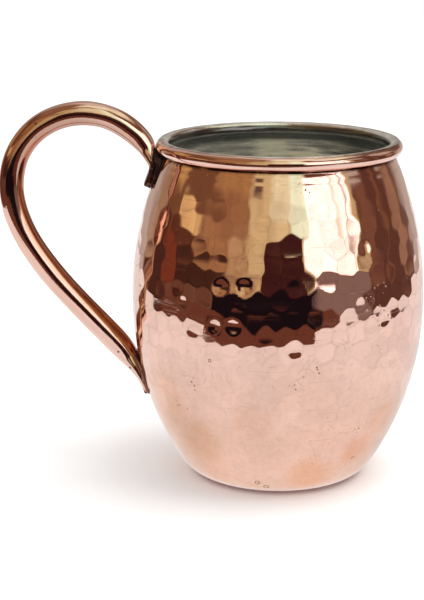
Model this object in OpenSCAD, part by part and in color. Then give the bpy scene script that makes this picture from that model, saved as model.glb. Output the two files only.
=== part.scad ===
// Hammered copper mug with a tin lining and a bent tube handle.
// Millimetres, +Z up. The origin is the centre of the base, on the surface that the mug stands on.
// The handle is on the -X side.

/* [Body] */
// Height of the copper body, over the rolled rim and without the tin
body_h = 104.5; // [90:0.5:120]
// Widest radius of the barrel
belly_r = 45; // [40:0.5:50]
// Height of the widest point
belly_z = 55; // [48:0.5:60]
// Radius of the arc from the belly up to the neck
upper_arc = 107; // [100:1:120]
// Radius of the arc from the belly down to the base
lower_arc = 92.5; // [85:0.5:105]
// Radius of the rounded edge of the base
base_edge = 11; // [6:0.5:14]
// Thickness of the copper sheet
sheet_t = 1; // [0.8:0.1:1.4]

/* [Rim] */
// Radius of the circle along which the rim is rolled
rim_r = 35.3; // [34:0.1:37]
// Diameter of the rolled rim
roll_d = 4.2; // [3.6:0.1:5]

/* [Tin lining] */
// Thickness of the tin coat
tin_t = 0.15; // [0.1:0.05:0.3]
// Height above the middle of the roll at which the tin ends on the outer side
tin_edge = 0.6; // [0:0.1:1.5]

/* [Handle] */
// Tube diameter at the upper end
tube_d_top = 7.2; // [6.4:0.1:8]
// Tube diameter at the lower end
tube_d_low = 7.9; // [6.4:0.1:8.4]
// Wall of the tube
tube_t = 0.7; // [0.5:0.05:0.8]
// Height of the upper tongue's tip
upper_tip_z = 89.6; // [89:0.1:90.5]
// Thickness of the upper tongue
upper_tongue_t = 1.9; // [1.7:0.1:2.4]
// Height of the lower tongue's tip
lower_tip_z = 25.1; // [24.5:0.1:25.5]
// Thickness of the lower tongue
lower_tongue_t = 1.1; // [1:0.1:1.4]

/* [Brazed joints] */
// Thickness of the brazing metal under each tongue
braze_t = 0.25; // [0.15:0.05:0.4]
// Width of the fillet beside each tongue
braze_fillet = 0.7; // [0.4:0.1:1.2]

/* [Hidden] */
$fn = 96;

copper = [0.86, 0.56, 0.43];
wire_copper = [0.72, 0.42, 0.30];
tin = [0.72, 0.71, 0.69];
filler = [0.30, 0.20, 0.14];

roll_r = roll_d / 2;
rim_z = body_h - roll_r;
wire_r = roll_r - sheet_t;
arc_steps = 14;
edge_steps = 8;
touch = 0.02;

// Centre of the rounded base edge: its circle touches the floor and the lower arc
edge_x = belly_r - lower_arc + sqrt((lower_arc - base_edge)^2 - (belly_z - base_edge)^2);
// Angle at which the base edge runs into the lower arc
edge_a = atan2(base_edge - belly_z, edge_x - belly_r + lower_arc);
// Height at which the wall runs into the roll
wall_top = rim_z - 0.4 * roll_r;

// Free stretch of the handle, as control points [x, z, roundness] of a smooth curve.
// Roundness is the tube's thickness over its diameter: a little over 1 holds it round for longer.
free_route = [
    [-38.8, 98.4, 0.39], [-40, 102, 0.76], [-43, 106, 1], [-50.2, 111, 1], [-60, 113, 1],
    [-71.5, 110, 1], [-80, 100.7, 1], [-82.3, 88.2, 1], [-78.7, 75.8, 1], [-69.7, 62.2, 1],
    [-57.7, 49, 1], [-47.2, 38.4, 1.06], [-43.9, 32.7, 0.38], [-42.6, 30, 0.2],
];
// Heights of the control points of each tongue above its tip
upper_tongue_z = [0, 3, 6];
lower_tongue_z = [2.4, 0];
route = concat(
    [for (z = upper_tongue_z) tongue_point(upper_tip_z + z, upper_tongue_t, tube_d_top)],
    free_route,
    [for (z = lower_tongue_z) tongue_point(lower_tip_z + z, lower_tongue_t, tube_d_low)]
);
route_end = len(route) - 1;
route_rings = 4 * route_end;
sides = 20;
// The bore of the tube is squeezed shut over this many steps of the route at the lower end
shut_steps = 2;
// The tip of each tongue is rounded over this many steps of the route
tip_steps = 0.8;
// Half thickness at which the tube counts as fully flat, and then curves with the wall
flat_t = 0.8;
// Each brazed joint runs this many steps of the route from its tip
upper_joint = 3.0;
lower_joint = 3.6;
joint_rings = 12;
least_braze = 0.08;

// Points of an arc about c
function arc(c, r, a0, a1, n) = [for (i = [0:n]) let (a = a0 + (a1 - a0) * i / n) c + r * [cos(a), sin(a)]];

// Half outline of the barrel, moved inward by inset, from the axis at the base up to the roll
function barrel_outline(inset) = let (top_r = upper_arc - inset, top_a = asin((wall_top - belly_z) / top_r))
    concat(
        [[0, inset]],
        arc([edge_x, base_edge], base_edge - inset, -90, edge_a, edge_steps),
        arc([belly_r - lower_arc, belly_z], lower_arc - inset, edge_a, 0, arc_steps),
        arc([belly_r - upper_arc, belly_z], top_r, 0, top_a, arc_steps)
    );

// Radius of the arc of the barrel at height z
function wall_arc(z) = z > belly_z ? upper_arc : lower_arc;
// Outer radius of the barrel at height z
function wall_r(z) = belly_r - wall_arc(z) + sqrt(wall_arc(z)^2 - (z - belly_z)^2);
// Distance of the point [x, z] from the outer wall, on the handle side
function wall_gap(p) = norm(p - [wall_arc(p.y) - belly_r, belly_z]) - wall_arc(p.y);
// Point at height z that lies a given distance off the wall, on the handle side
function beside_wall(z, d) = let (c = [wall_arc(z) - belly_r, belly_z], p = [-wall_r(z), z])
    c + (p - c) * (wall_arc(z) + d) / wall_arc(z);
// Control point of a tongue of thickness t at height z, pressed from a tube of diameter d
function tongue_point(z, t, d) = concat(beside_wall(z, braze_t + t / 2), t / d);

function smooth_step(t) = let (s = min(max(t, 0), 1)) s * s * (3 - 2 * s);

// The four control points that rule the curve at u, counted in steps of the route
function span(u) = let (i = min(max(floor(u), 0), route_end - 1)) [
    i > 0 ? route[i - 1] : 2 * route[0] - route[1],
    route[i],
    route[i + 1],
    i + 2 <= route_end ? route[i + 2] : 2 * route[i + 1] - route[i],
    u - i
];
// Place [x, z] and roundness of the handle at u, on a uniform cubic B-spline
function place(u) = let (s = span(u), t = s[4])
    ((1 - t)^3 * s[0] + (3 * t^3 - 6 * t^2 + 4) * s[1] + (1 + 3 * t + 3 * t^2 - 3 * t^3) * s[2] + t^3 * s[3]) / 6;
// Centre line of the handle at u
function centre(u) = let (p = place(u)) [p.x, p.y];
// Unit direction of the centre line at u
function heading(u) = let (
        s = span(u),
        t = s[4],
        d = -(1 - t)^2 * s[0] + (3 * t^2 - 4 * t) * s[1] + (1 + 2 * t - 3 * t^2) * s[2] + t^2 * s[3]
    )
    [d.x, d.y] / norm([d.x, d.y]);
// Radius of the round tube at u
function tube_r(u) = (tube_d_top + (tube_d_low - tube_d_top) * smooth_step(u / route_end)) / 2;
// Half thickness at u, which always leaves some room for brazing metal beside the wall
function half_t(u) = min(min(place(u).z, 1) * tube_r(u), wall_gap(centre(u)) - least_braze);
// 1 where the tube is pressed fully flat, 0 where it is round
function flatness(u) = 1 - smooth_step((half_t(u) - flat_t) / (tube_r(u) - flat_t));
// Part of the full width that is left at u, because the tips are rounded
function tip_width(u) = let (d = min(max(min(u, route_end - u) / tip_steps, 0), 1)) 0.6 + 0.4 * sqrt(1 - (1 - d)^2);
// Half width at u: a squeezed tube keeps its girth
function half_w(u) = (half_t(u) + (tube_r(u) - half_t(u)) * 90 * PI / 180) * tip_width(u);

// Point on a quarter of a flattened tube, at the part q of its length from the middle of the flat side
function quarter_point(w, t, q) = let (flat = w - t, s = q * (flat + t * PI / 2))
    s < flat ? [s, t] : let (a = (s - flat) / t * 180 / PI) [flat + t * sin(a), t * cos(a)];
// Outline of a flattened tube with half width w and half thickness t
function tube_outline(w, t) = let (n = sides / 4) concat(
    [for (i = [0:n - 1]) quarter_point(w, t, i / n)],
    [for (i = [0:n - 1]) let (p = quarter_point(w, t, 1 - i / n)) [p.x, -p.y]],
    [for (i = [0:n - 1]) -quarter_point(w, t, i / n)],
    [for (i = [0:n - 1]) let (p = quarter_point(w, t, 1 - i / n)) [-p.x, p.y]]
);

// Place in space of p, a point across the tube at u: p.x runs along Y, p.y away from the centre line.
// bend is how far the section follows the curve of the barrel, from 0 to 1.
function across(u, p, bend) = let (
        c = centre(u),
        h = heading(u),
        r = wall_r(min(c.y, rim_z)),
        sag = bend * (r - sqrt(r^2 - p.x^2))
    )
    [c.x - h.y * p.y + sag, p.x, c.y + h.x * p.y];

// Triangles across a ring of n points, in a strip that joins each point to the one opposite
function cap(n) = [for (i = [0:n / 2 - 2]) let (k = n - 1 - i)
    each i < n / 4 ? [[i, i + 1, k], [i + 1, k - 1, k]] : [[i, i + 1, k - 1], [i, k - 1, k]]];

// Closed skin over equal rings of points
module skin(rings) {
    n = len(rings[0]);
    last = n * (len(rings) - 1);
    sides = [for (i = [0:n:last - n], j = [0:n - 1]) let (a = i + j, b = i + (j + 1) % n)
        each [[a, b, b + n], [a, b + n, a + n]]];
    start = [for (t = cap(n)) [t[2], t[1], t[0]]];
    end = [for (t = cap(n)) t + last * [1, 1, 1]];
    polyhedron([for (ring = rings) each ring], concat(sides, start, end), convexity = 8);
}

// Tube along the route from u0 to u1, with its surface moved inward by inset
module tube(u0, u1, inset, rings) {
    skin([for (i = [0:rings]) let (u = u0 + (u1 - u0) * i / rings)
        [for (p = tube_outline(half_w(u) - inset, half_t(u) - inset)) across(u, p, flatness(u))]]);
}

// Half of the upper side of a brazed joint at u, from its middle under the tongue to the side
function joint_side(u) = let (w = half_w(u), t = half_t(u), flat = max(w - t, touch)) concat(
    [for (i = [0:2]) [flat * i / 3, -t - touch]],
    [for (a = [0:15:60]) [flat + (t + touch) * sin(a), -(t + touch) * cos(a)]]
);
// Half of the lower side of a brazed joint at u, on the wall, from its middle to its foot
function joint_bed(u) = let (side = joint_side(u), last = len(side) - 1, y = touch / 2 - wall_gap(centre(u)))
    [for (i = [0:last]) [side[i].x + braze_fillet * i / last, y]];
// The whole of a line of points that starts in the middle
function both_halves(half) = let (last = len(half) - 1)
    concat([for (i = [last:-1:0]) half[i]], [for (i = [1:last]) [-half[i].x, half[i].y]]);
// Ring of the joint at u; face is 1 where the wall is on the left of the route, -1 on the right
function joint_ring(u, face) = concat(
    [for (p = both_halves(joint_side(u))) across(u, face * [p.x, -p.y], flatness(u))],
    [for (p = both_halves(joint_bed(u))) across(u, -face * p, 1)]
);

// Brazed joint from u0 to u1
module braze(u0, u1, face) {
    skin([for (i = [0:joint_rings]) joint_ring(u0 + (u1 - u0) * i / joint_rings, face)]);
}

// Section of a layer of the barrel, between two insets
module layer(outer, inner) {
    inside = barrel_outline(inner);
    polygon(concat(barrel_outline(outer), [for (i = [len(inside) - 1:-1:0]) inside[i]]));
}

// Vessel raised in one piece from sheet: flat base, barrel wall and rolled rim
module body() {
    color(copper) rotate_extrude() difference() {
        union() {
            layer(0, sheet_t);
            translate([rim_r, rim_z]) circle(roll_r);
        }
        translate([rim_r, rim_z]) circle(wire_r);
    }
}

// Wire inside the rolled rim
module rim_wire() {
    color(wire_copper) rotate_extrude() translate([rim_r, rim_z]) circle(wire_r);
}

// Tin coat: the whole inside and over the top of the rolled rim
module tin_lining() {
    color(tin) rotate_extrude() difference() {
        union() {
            layer(sheet_t, sheet_t + tin_t);
            difference() {
                translate([rim_r, rim_z]) circle(roll_r + tin_t);
                translate([rim_r, rim_z - roll_d]) square([roll_d, roll_d + tin_edge]);
                translate([rim_r - sheet_t, 0]) square([roll_d, rim_z]);
            }
        }
        translate([rim_r, rim_z]) circle(roll_r);
        layer(0, sheet_t);
    }
}

// Bent copper tube, pressed flat at both ends
module handle() {
    color(copper) difference() {
        tube(0, route_end, 0, route_rings);
        tube(-touch, route_end - shut_steps, tube_t, route_rings);
    }
}

// Brazing metal between the upper tongue and the neck
module upper_braze() {
    color(filler) braze(0, upper_joint, -1);
}

// Brazing metal between the lower tongue and the wall
module lower_braze() {
    color(filler) braze(route_end - lower_joint, route_end, 1);
}

body();
rim_wire();
tin_lining();
handle();
upper_braze();
lower_braze();
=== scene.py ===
import math

import bpy
import numpy as np
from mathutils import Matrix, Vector

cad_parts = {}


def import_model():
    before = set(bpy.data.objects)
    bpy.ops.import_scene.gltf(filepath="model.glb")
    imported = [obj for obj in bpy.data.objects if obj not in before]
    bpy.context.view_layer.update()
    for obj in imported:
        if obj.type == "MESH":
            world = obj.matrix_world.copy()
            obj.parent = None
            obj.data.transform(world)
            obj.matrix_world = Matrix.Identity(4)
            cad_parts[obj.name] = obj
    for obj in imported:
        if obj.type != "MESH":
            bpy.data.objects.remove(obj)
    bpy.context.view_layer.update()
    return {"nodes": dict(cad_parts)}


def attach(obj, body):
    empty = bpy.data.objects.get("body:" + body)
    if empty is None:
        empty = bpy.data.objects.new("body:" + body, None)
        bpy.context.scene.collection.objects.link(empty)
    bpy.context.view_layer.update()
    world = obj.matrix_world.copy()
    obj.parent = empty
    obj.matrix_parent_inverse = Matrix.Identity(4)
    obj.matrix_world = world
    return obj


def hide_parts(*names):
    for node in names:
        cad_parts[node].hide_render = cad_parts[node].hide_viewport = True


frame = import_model()
MM = 0.001

# ---------------------------------------------------------------- dimensions, in mm, as in the CAD model
BODY_H, BELLY_R, BELLY_Z = 104.5, 45.0, 55.0
UPPER_ARC, LOWER_ARC, BASE_EDGE = 107.0, 92.5, 11.0
SHEET_T, TIN_T = 1.0, 0.15
RIM_R, ROLL_D = 35.3, 4.2
TUBE_D_TOP, TUBE_D_LOW, TUBE_T = 7.2, 7.9, 0.7
UPPER_TIP_Z, UPPER_TONGUE_T = 89.6, 1.9
LOWER_TIP_Z, LOWER_TONGUE_T = 25.1, 1.1
BRAZE_T, BRAZE_FILLET, LEAST_BRAZE = 0.25, 0.7, 0.08
ROLL_R = ROLL_D / 2
RIM_Z = BODY_H - ROLL_R
WIRE_R = ROLL_R - SHEET_T
EDGE_X = BELLY_R - LOWER_ARC + math.sqrt((LOWER_ARC - BASE_EDGE) ** 2 - (BELLY_Z - BASE_EDGE) ** 2)
EDGE_A = math.atan2(BASE_EDGE - BELLY_Z, EDGE_X - BELLY_R + LOWER_ARC)
FREE_ROUTE = [
    (-38.8, 98.4, 0.39), (-40, 102, 0.76), (-43, 106, 1), (-50.2, 111, 1), (-60, 113, 1),
    (-71.5, 110, 1), (-80, 100.7, 1), (-82.3, 88.2, 1), (-78.7, 75.8, 1), (-69.7, 62.2, 1),
    (-57.7, 49, 1), (-47.2, 38.4, 1.06), (-43.9, 32.7, 0.38), (-42.6, 30, 0.2),
]
SHUT_STEPS, TIP_STEPS, FLAT_T = 2, 0.8, 0.8

# ---------------------------------------------------------------- details that the CAD model leaves out
# Places along the handle count the steps of its route, from 0 at the upper tip to ROUTE_END at the lower one
TIP_ROUND = 0.32
BEAD_PUSH, BEAD_AT, BEAD_WIDE = 0.22, 3.95, 0.55
UPPER_JOINT, LOWER_JOINT = 3.0, 3.6
DRAWN_UP = 0.6
FREE_ROUND = 0.45
BRAZE_TOUCH = 0.02
# Angle on the roll's circle at which it meets the inner wall, and the length up the inner wall to that place
ROLL_END, INNER_TOP = math.radians(196), 44
DISH_MIDDLE, DISH_OUTSIDE, DISH_INSIDE = 0.37, 0.35, 0.36
GROOVE_DEPTH = 0.1
TIN_GAP, TIN_SINK, TIN_LIFT = 0.02, 0.03, 0.004

# ---------------------------------------------------------------- make of the meshes
SEGMENTS = 430
WALL_STEP = 0.66
TUBE_SIDES, BORE_SIDES = 48, 24
CELL_W, CELL_H = 5.7, 5.1
PEEN_R = 44.0
LAST_SHARE, LAST_DEPTH, FIRST_DEPTH = 0.5, 0.165, 0.11
STRIKE_REACH, STRIKE_BLUR = 10, 0.005
RIDGE_H, RIDGE_W = 0.012, 0.05
# Deeper strikes on the front: angle round the mug in degrees, height, depth and peen radius
HARD_STRIKES = (
    (-114, 68, 0.48, 7.5), (-104.5, 68.5, 0.50, 8), (-86, 68.5, 0.25, 20), (-116, 56.5, 0.36, 10),
    (-108.5, 57, 0.38, 11), (-130, 62, 0.27, 15), (-124.6, 54.3, 0.25, 18), (-86, 50.5, 0.25, 20),
    (-48, 57, 0.25, 19), (-94, 47.5, 0.2, 24), (-56.5, 78.5, 0.26, 14), (-115.5, 75, 0.24, 20),
    (-106, 74.5, 0.2, 24), (-118, 41.5, 0.3, 13), (-113.5, 41, 0.26, 14), (-63, 37, 0.3, 12),
    (-42, 44, 0.32, 12), (-133, 66, 0.28, 13), (-71, 84, 0.2, 20), (-99, 86, 0.2, 20), (-60, 62, 0.26, 15),
)
# Dents in the handle: place along it, angle round it, depth, and length in steps
HANDLE_DENTS = ((6.2, 2.2, 0.12, 0.35), (9.1, 0.6, 0.1, 0.3), (11.4, 1.8, 0.12, 0.4), (3.9, 5.0, 0.12, 0.3))


# ---------------------------------------------------------------- mesh helpers
def smooth_step(t):
    s = np.clip(t, 0, 1)
    return s * s * (3 - 2 * s)


def unit(v):
    return v / np.linalg.norm(v, axis=-1, keepdims=True)


def bell(x):
    return np.exp(-(x**2))


def full_turn(n):
    """n angles, evenly spaced round a circle."""
    return np.linspace(0, 2 * math.pi, n, endpoint=False)


class Skin:
    """Gathers vertices and faces of one mesh, in mm."""

    def __init__(self):
        self.points, self.faces, self.count = [], [], 0

    def add(self, points):
        points = np.asarray(points, float).reshape(-1, 3)
        self.points.append(points)
        start = self.count
        self.count += len(points)
        return np.arange(start, self.count)

    def grid(self, grid, flip=False, close=False):
        """Quads over a grid of rings x points; rings are closed, and with close the last joins the first."""
        rings, n = grid.shape[:2]
        ids = self.add(grid).reshape(rings, n)
        nxt = np.roll(ids, -1, axis=1)
        a, b = (ids, np.roll(ids, -1, axis=0)) if close else (ids[:-1], ids[1:])
        c, d = (nxt, np.roll(nxt, -1, axis=0)) if close else (nxt[:-1], nxt[1:])
        quads = np.stack([a, c, d, b], axis=-1).reshape(-1, 4)
        self.faces += (quads[:, ::-1] if flip else quads).tolist()
        return ids

    def pole(self, ring, point, flip=False):
        """Triangles from a ring to one point."""
        top = int(self.add([point])[0])
        for a, b in zip(ring, np.roll(ring, -1)):
            self.faces.append([int(b), int(a), top] if flip else [int(a), int(b), top])

    def cap(self, ring, flip=False):
        """Strip of quads across a ring, from each point to the one opposite."""
        n = len(ring)
        for i in range(n // 2 - 1):
            quad = [int(ring[k]) for k in (i, i + 1, n - 2 - i, n - 1 - i)]
            self.faces.append(quad[::-1] if flip else quad)

    def build(self, name, values=None, crease=40):
        """Object of the mesh, in metres, with values stored on its points; crease is the sharp angle."""
        mesh = bpy.data.meshes.new(name)
        mesh.from_pydata((np.concatenate(self.points) * MM).tolist(), [], self.faces)
        mesh.polygons.foreach_set("use_smooth", [True] * len(mesh.polygons))
        for key, data in (values or {}).items():
            mesh.attributes.new(key, "FLOAT", "POINT").data.foreach_set("value", np.asarray(data, np.float32))
        mesh.set_sharp_from_angle(angle=math.radians(crease))
        mesh.update()
        obj = bpy.data.objects.new(name, mesh)
        bpy.context.scene.collection.objects.link(obj)
        return obj


def turned(profile, theta):
    """Grid of points from rings of (radius, height), each either one value or one for each angle."""
    r = np.stack([np.broadcast_to(p[0], theta.shape) for p in profile])
    z = np.stack([np.broadcast_to(p[1], theta.shape) for p in profile])
    return np.stack([r * np.cos(theta), r * np.sin(theta), z], axis=-1)


# ---------------------------------------------------------------- barrel
def wall_place(v, inset=0.0):
    """(radius, height, outward and upward part of the normal) at the length v up the wall from the belly."""
    big = UPPER_ARC if v > 0 else LOWER_ARC
    a = v / big
    r = BELLY_R - big + (big - inset) * math.cos(a)
    return r, BELLY_Z + (big - inset) * math.sin(a), math.cos(a), math.sin(a)


def arc_at(z):
    return np.where(np.asarray(z) > BELLY_Z, UPPER_ARC, LOWER_ARC)


def edge_place(a, inset=0.0):
    """(radius, height) at an angle on the rounded edge of the base."""
    return EDGE_X + (BASE_EDGE - inset) * math.cos(a), BASE_EDGE + (BASE_EDGE - inset) * math.sin(a)


def roll_place(a, r):
    """(radius, height) at an angle on a circle round the wire in the rim."""
    return RIM_R + r * np.cos(a), RIM_Z + r * np.sin(a)


def wall_r(z):
    """Radius of the wall's outside at a height."""
    big = arc_at(z)
    return BELLY_R - big + np.sqrt(big**2 - (np.asarray(z) - BELLY_Z) ** 2)


def strikes(seed=11):
    """Every hammer strike: angle, length up the wall, depth, peen radius, and stretch across and up.

    A share of them was struck last, deeper and tighter than the rest.
    """
    rng = np.random.default_rng(seed)
    made = []
    lowest, highest = LOWER_ARC * EDGE_A - 4, 41.0
    for j, v in enumerate(np.arange(lowest, highest, CELL_H)):
        n = int(round(2 * math.pi * wall_place(v)[0] / CELL_W))
        for i in range(n):
            last = rng.random() < LAST_SHARE
            made.append((
                (i + 0.5 * (j % 2) + rng.uniform(-0.22, 0.22)) * 2 * math.pi / n,
                v + rng.uniform(-0.2, 0.2) * CELL_H,
                (LAST_DEPTH if last else FIRST_DEPTH) + rng.uniform(-0.02, 0.02),
                PEEN_R * (rng.uniform(0.74, 1.08) if last else rng.uniform(1.35, 1.8)),
                rng.uniform(0.96, 1.06),
                rng.uniform(0.96, 1.06),
            ))
    for angle, z, depth, peen in HARD_STRIKES:
        big = float(arc_at(z))
        made.append((math.radians(angle), big * math.asin((z - BELLY_Z) / big), depth, peen, 1.0, 1.0))
    return np.array(made)


def hammered(theta, v, hits):
    """(depth, ridge) round the wall at the length v up it: depth is at most 0, ridge is 1 between strikes."""
    near = hits[np.abs(hits[:, 1] - v) < STRIKE_REACH]
    if not len(near):
        return np.zeros_like(theta), np.zeros_like(theta)
    r = wall_place(v)[0]
    across = (theta[:, None] - near[None, :, 0] + math.pi) % (2 * math.pi) - math.pi
    du, dv = across * r * near[:, 4], (v - near[:, 1]) * near[:, 5]
    fields = -near[:, 2] + (du**2 + dv**2) / (2 * near[:, 3])
    low = fields.min(axis=1)
    depth = low - STRIKE_BLUR * np.log(np.exp(-(fields - low[:, None]) / STRIKE_BLUR).sum(axis=1))
    two = np.partition(fields, 1, axis=1)[:, :2]
    ridge = np.exp(-(two[:, 1] - two[:, 0]) / RIDGE_W)
    return np.minimum(depth + RIDGE_H * ridge, 0), ridge


def strength(z):
    """How strongly the wall is hammered at a height: fully round the belly, hardly at the neck and foot."""
    up = 1 - 0.4 * smooth_step((z - 76) / 12) - 0.6 * smooth_step((z - 90) / 7)
    down = 0.3 + 0.7 * smooth_step((z - 16) / 18)
    return up * down * smooth_step((z - 4) / 8)


def unevenness(theta, v):
    """Slow dips of the hand-raised wall, never outward."""
    waves = (
        np.sin(3 * theta + v / 17 + 0.4) * 0.5
        + np.sin(7 * theta - v / 9 + 2.1) * 0.3
        + np.sin(11 * theta + v / 13 + 4.0) * 0.2
    )
    return -0.045 * (1 + waves)


def roll_start():
    """Angle on the roll's circle at which it leaves the outer wall."""
    a = np.radians(np.linspace(-120, -60, 2000))
    r, z = roll_place(a, ROLL_R)
    return a[np.argmin(np.abs(r - wall_r(z)))]


def grooves(theta, below):
    """Two turned lines at a length below the rolled rim: a deep one right under it and a faint wavy one."""
    deep = bell((below - 0.5) / 0.5) * (0.7 + 0.3 * np.sin(5 * theta + 1))
    faint = 0.6 * bell((below - 3.2 - 0.15 * np.sin(4 * theta)) / 0.35)
    return -GROOVE_DEPTH * (deep + faint)


def base_rings(ring):
    for r in (3.0, 8.0, 13.0, 17.0, 19.5):
        ring(r, DISH_OUTSIDE * (1 - smooth_step((r - 12) / 7)))
    for a in np.linspace(-math.pi / 2, EDGE_A, 14)[:-1]:
        ring(*edge_place(a))


def wall_rings(ring, theta, v_top):
    """Hammered outer wall, from the base's edge up to the roll."""
    hits = strikes()
    for v in np.concatenate([np.arange(LOWER_ARC * EDGE_A, v_top - 0.6, WALL_STEP), [v_top - 0.35, v_top]]):
        r, z, nr, nz = wall_place(v)
        depth, ridge = hammered(theta, v, hits)
        fade = strength(z)
        calm = smooth_step((z - 12) / 12) * (1 - smooth_step((z - 88) / 8))
        h = depth * fade + unevenness(theta, v) * calm + grooves(theta, v_top - v)
        ring(r + h * nr, z + h * nz, ridge * fade)


def roll_rings(ring, theta, start):
    """Rim rolled round the wire, slightly uneven between its two ends."""
    wobble = 0.05 * (np.sin(9 * theta + 1) + np.sin(23 * theta + 2)) - 0.1
    for a in np.linspace(start, ROLL_END, 24):
        free = smooth_step((a - start) / 0.6) * smooth_step((ROLL_END - a) / 0.6)
        ring(*roll_place(a, ROLL_R + wobble * 0.35 * free))


def inner_rings(ring):
    lengths = np.concatenate([np.linspace(INNER_TOP, 0, 12), np.linspace(-4, LOWER_ARC * EDGE_A, 12)])
    for v in lengths:
        ring(*wall_place(v, SHEET_T)[:2])
    for a in np.linspace(EDGE_A, -math.pi / 2, 5)[1:]:
        ring(*edge_place(a, SHEET_T))
    ring(8.0, SHEET_T + DISH_INSIDE)


def body():
    """Vessel of hammered sheet with its rolled rim and the bore that holds the wire."""
    theta = full_turn(SEGMENTS)
    profile, ridges = [], []

    def ring(r, z, ridge=0.0):
        profile.append((r, z))
        ridges.append(np.broadcast_to(ridge, theta.shape))

    start = roll_start()
    v_top = UPPER_ARC * math.asin((RIM_Z + ROLL_R * math.sin(start) - BELLY_Z) / UPPER_ARC)
    base_rings(ring)
    wall_rings(ring, theta, v_top)
    roll_rings(ring, theta, start)
    inner_rings(ring)
    skin = Skin()
    ids = skin.grid(turned(profile, theta))
    skin.pole(ids[0], (0, 0, DISH_MIDDLE), flip=True)
    skin.pole(ids[-1], (0, 0, SHEET_T + DISH_MIDDLE))
    bore = turned([roll_place(a, WIRE_R) for a in full_turn(12)], theta[::5])
    skin.grid(bore, flip=True, close=True)
    ridge = np.concatenate(ridges + [np.zeros(skin.count - len(ridges) * SEGMENTS)])
    return skin.build("hammered_body", {"ridge": ridge}, crease=55)


# ---------------------------------------------------------------- tin lining
def wiped_edge(theta):
    """Angle on the roll's circle at which the wiped tin ends on the outer side, highest at the front left."""
    ragged = 7 * np.sin(5 * theta + 0.8) + 5 * np.sin(13 * theta + 2.2)
    ragged = ragged + 3 * np.sin(29 * theta) + 2 * np.sin(61 * theta + 1)
    return np.radians(60 + 17 * np.cos(theta + 1.92) + ragged * 0.6)


def tin_inside(theta, outer, under):
    """Both faces of the coat on the base and the wall: the free one, and the one that lies on the copper."""
    sides = ((outer, SHEET_T + TIN_T, 1), (under, SHEET_T + TIN_GAP, 0))
    for r in (6.0, 14.0):
        for made, inset, _ in sides:
            made.append((r, inset + DISH_INSIDE * (1 - smooth_step((r - 10) / 6))))
    for a in np.linspace(-math.pi / 2, EDGE_A, 9)[:-1]:
        for made, inset, _ in sides:
            made.append(edge_place(a, inset))
    for v in np.concatenate([np.linspace(LOWER_ARC * EDGE_A, 0, 20), np.linspace(1, INNER_TOP, 30)]):
        dent = 0.025 * np.sin(9 * theta + v / 5) * np.sin(v / 7 + 2 * np.sin(3 * theta))
        for made, inset, free in sides:
            r, z, nr, nz = wall_place(v, inset)
            made.append((r + dent * nr, z + free * dent * nz))


def tin_over_rim(theta, outer, under):
    """Both faces of the coat over the rolled rim, where it thins out to its ragged edge."""
    end = wiped_edge(theta)
    for t in np.linspace(0, 1, 26):
        a = ROLL_END + (end - ROLL_END) * t
        lump = 0.012 * (np.sin(17 * theta + 1.7 * 9 * t) + np.sin(31 * theta - 0.9 * 9 * t))
        thick = TIN_T * np.sqrt(np.clip((1 - t) / 0.12, 0, 1)) + lump * smooth_step((1 - t) / 0.2)
        outer.append(roll_place(a, ROLL_R + TIN_LIFT + thick))
        under.append(roll_place(a, ROLL_R - TIN_SINK))


def tin_lining():
    """Tin coat wiped over the inside and over the top of the rolled rim."""
    theta = full_turn(SEGMENTS)
    outer, under = [], []
    tin_inside(theta, outer, under)
    tin_over_rim(theta, outer, under)
    skin = Skin()
    ids = skin.grid(turned(outer + under[::-1], theta), flip=True)
    skin.pole(ids[0], (0, 0, SHEET_T + TIN_T + DISH_MIDDLE))
    skin.pole(ids[-1], (0, 0, SHEET_T + DISH_MIDDLE + 0.01), flip=True)
    return skin.build("wiped_tin", crease=60)


# ---------------------------------------------------------------- handle
def beside_wall(z, d):
    """Place at the distance d from the wall, straight out from its point at the height z."""
    big = float(arc_at(z))
    c = np.array([big - BELLY_R, BELLY_Z])
    p = np.array([-float(wall_r(z)), z])
    return c + (p - c) * (big + d) / big


def tongue_point(z, t, d):
    """Point of the route where a tube of diameter d is a tongue t thick that lies on the braze."""
    return (*beside_wall(z, BRAZE_T + t / 2), t / d)


ROUTE = np.array(
    [tongue_point(UPPER_TIP_Z + z, UPPER_TONGUE_T, TUBE_D_TOP) for z in (0, 3, 6)]
    + FREE_ROUTE
    + [tongue_point(LOWER_TIP_Z + z, LOWER_TONGUE_T, TUBE_D_LOW) for z in (2.4, 0)]
)
ROUTE_END = len(ROUTE) - 1


def wall_gap(p):
    """Distance of each point from the wall's outside."""
    big = arc_at(p[..., 1])
    return np.hypot(p[..., 0] - (big - BELLY_R), p[..., 1] - BELLY_Z) - big


def spline(u):
    """(place with roundness, direction) on the uniform cubic B-spline of the handle at each u."""
    u = np.asarray(u, float)
    ends = np.vstack([2 * ROUTE[0] - ROUTE[1], ROUTE, 2 * ROUTE[-1] - ROUTE[-2]])
    i = np.clip(np.floor(u).astype(int), 0, ROUTE_END - 1)
    t = (u - i)[..., None]
    a, b, c, d = ends[i], ends[i + 1], ends[i + 2], ends[i + 3]
    place = (1 - t) ** 3 * a + (3 * t**3 - 6 * t**2 + 4) * b
    place = (place + (1 + 3 * t + 3 * t**2 - 3 * t**3) * c + t**3 * d) / 6
    way = -((1 - t) ** 2) * a + (3 * t**2 - 4 * t) * b + (1 + 2 * t - 3 * t**2) * c + t**2 * d
    return place, unit(way[..., :2])


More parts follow.
